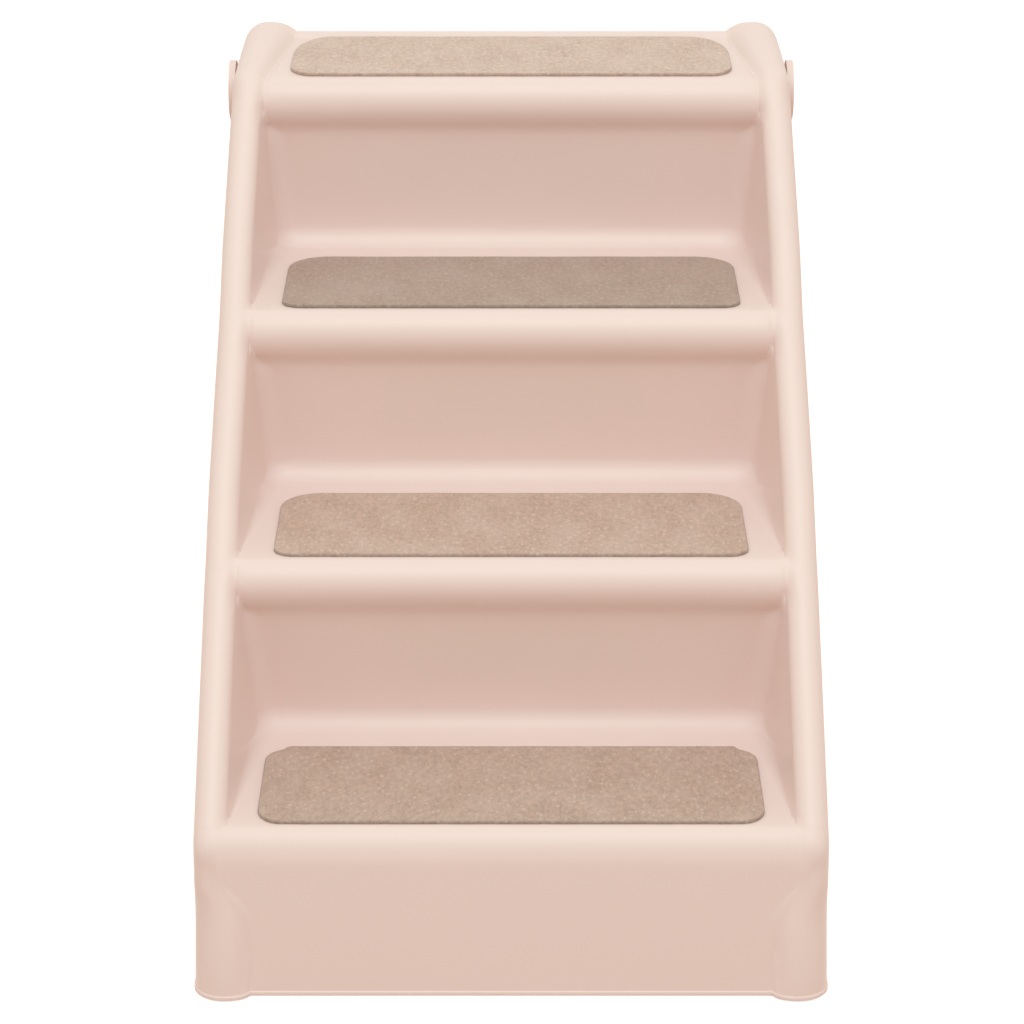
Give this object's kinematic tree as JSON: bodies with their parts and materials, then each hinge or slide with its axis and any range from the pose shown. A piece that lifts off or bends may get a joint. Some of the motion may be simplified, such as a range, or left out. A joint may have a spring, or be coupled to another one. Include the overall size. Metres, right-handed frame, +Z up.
{
  "type": "folding pet stairs",
  "caption": "Folding pet stairs: a one-piece moulded stair flight with felt tread mats and a hinged rear leg held open by two sliding stays.",
  "frame": {"origin": "centre of the bounding box in plan, on the floor", "axes": "+Z up; +Y the way the stairs rise, from the lowest step at the front to the rear leg; +X across the steps, to the right seen from the front"},
  "size_m": [0.4, 0.62, 0.4949],
  "materials": {
    "shell_plastic": "satin moulded polypropylene",
    "leg_plastic": "satin moulded polypropylene",
    "stay_plastic": "satin moulded polypropylene",
    "mat_felt": "short needle felt with a stitched front edge",
    "strip_nylon": "hook tape",
    "washer_nylon": "plain nylon",
    "foot_rubber": "soft matte rubber",
    "pin_steel": "turned and zinc plated",
    "clip_steel": "pressed spring steel"
  },
  "bodies": {
    "flight": {"stair_shell": "shell_plastic", "tread_mat_1": "mat_felt", "tread_mat_2": "mat_felt", "tread_mat_3": "mat_felt", "tread_mat_4": "mat_felt", "hook_strips_1": "strip_nylon", "hook_strips_2": "strip_nylon", "hook_strips_3": "strip_nylon", "hook_strips_4": "strip_nylon", "front_foot_left": "foot_rubber", "front_foot_right": "foot_rubber", "hinge_pin_left": "pin_steel", "hinge_pin_right": "pin_steel", "hinge_washer_left": "washer_nylon", "hinge_washer_right": "washer_nylon", "hinge_clip_left": "clip_steel", "hinge_clip_right": "clip_steel", "stay_pin_left": "pin_steel", "stay_pin_right": "pin_steel", "stay_clip_left": "clip_steel", "stay_clip_right": "clip_steel"},
    "leg": {"rear_leg": "leg_plastic", "rear_foot_left": "foot_rubber", "rear_foot_right": "foot_rubber"},
    "stay_arm_left": {"stay_left": "stay_plastic", "slide_pin_left": "pin_steel", "slide_spacers_left": "washer_nylon", "slide_clip_left": "clip_steel"},
    "stay_arm_right": {"stay_right": "stay_plastic", "slide_pin_right": "pin_steel", "slide_spacers_right": "washer_nylon", "slide_clip_right": "clip_steel"}
  },
  "joints": [
    {"name": "leg_fold", "type": "hinge", "parent": "flight", "child": "leg", "pos_m": [0, 0.2, 0.4569], "axis": [1, 0, 0], "range_deg": [-52.5, 0]},
    {"name": "stay_left_turn", "type": "hinge", "parent": "flight", "child": "stay_arm_left", "pos_m": [-0.18225, 0.09994, 0.37376], "axis": [1, 0, 0], "range_deg": [-90.2, 0.1]},
    {"name": "stay_right_turn", "type": "hinge", "parent": "flight", "child": "stay_arm_right", "pos_m": [0.18225, 0.09994, 0.37376], "axis": [1, 0, 0], "range_deg": [-90.2, 0.1]}
  ],
  "couplings": [
    {"joint": "stay_left_turn", "follows": "leg_fold", "ratio": 1.7154},
    {"joint": "stay_right_turn", "follows": "leg_fold", "ratio": 1.7154}
  ]
}
